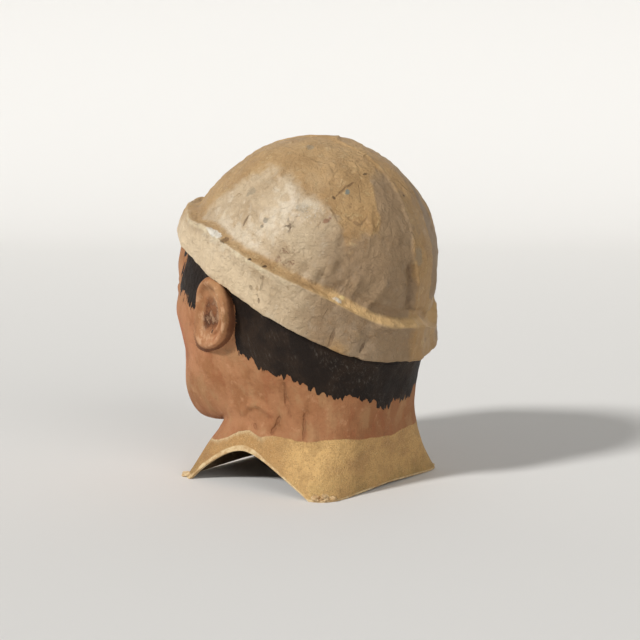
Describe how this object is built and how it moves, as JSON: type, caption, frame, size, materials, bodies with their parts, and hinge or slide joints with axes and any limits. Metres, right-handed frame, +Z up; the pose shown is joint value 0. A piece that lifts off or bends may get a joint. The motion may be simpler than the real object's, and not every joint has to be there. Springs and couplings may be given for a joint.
{
  "type": "papier-mache carnival mask",
  "caption": "Hollow papier-mache carnival head of a man in a cap with a rolled brim, worn over the whole head; open neck, arches over the shoulders, stands on its collar.",
  "frame": {"origin": "on the ground under the middle of the mask's width and length", "axes": "+Z up from the collar's tips to the top of the cap, -Y to where the face looks, +X to the mask's left ear"},
  "size_m": [0.2892, 0.3522, 0.4],
  "materials": {
    "painted_paper": "matte"
  },
  "bodies": {
    "root": {"mask_shell": "painted_paper"}
  },
  "joints": []
}
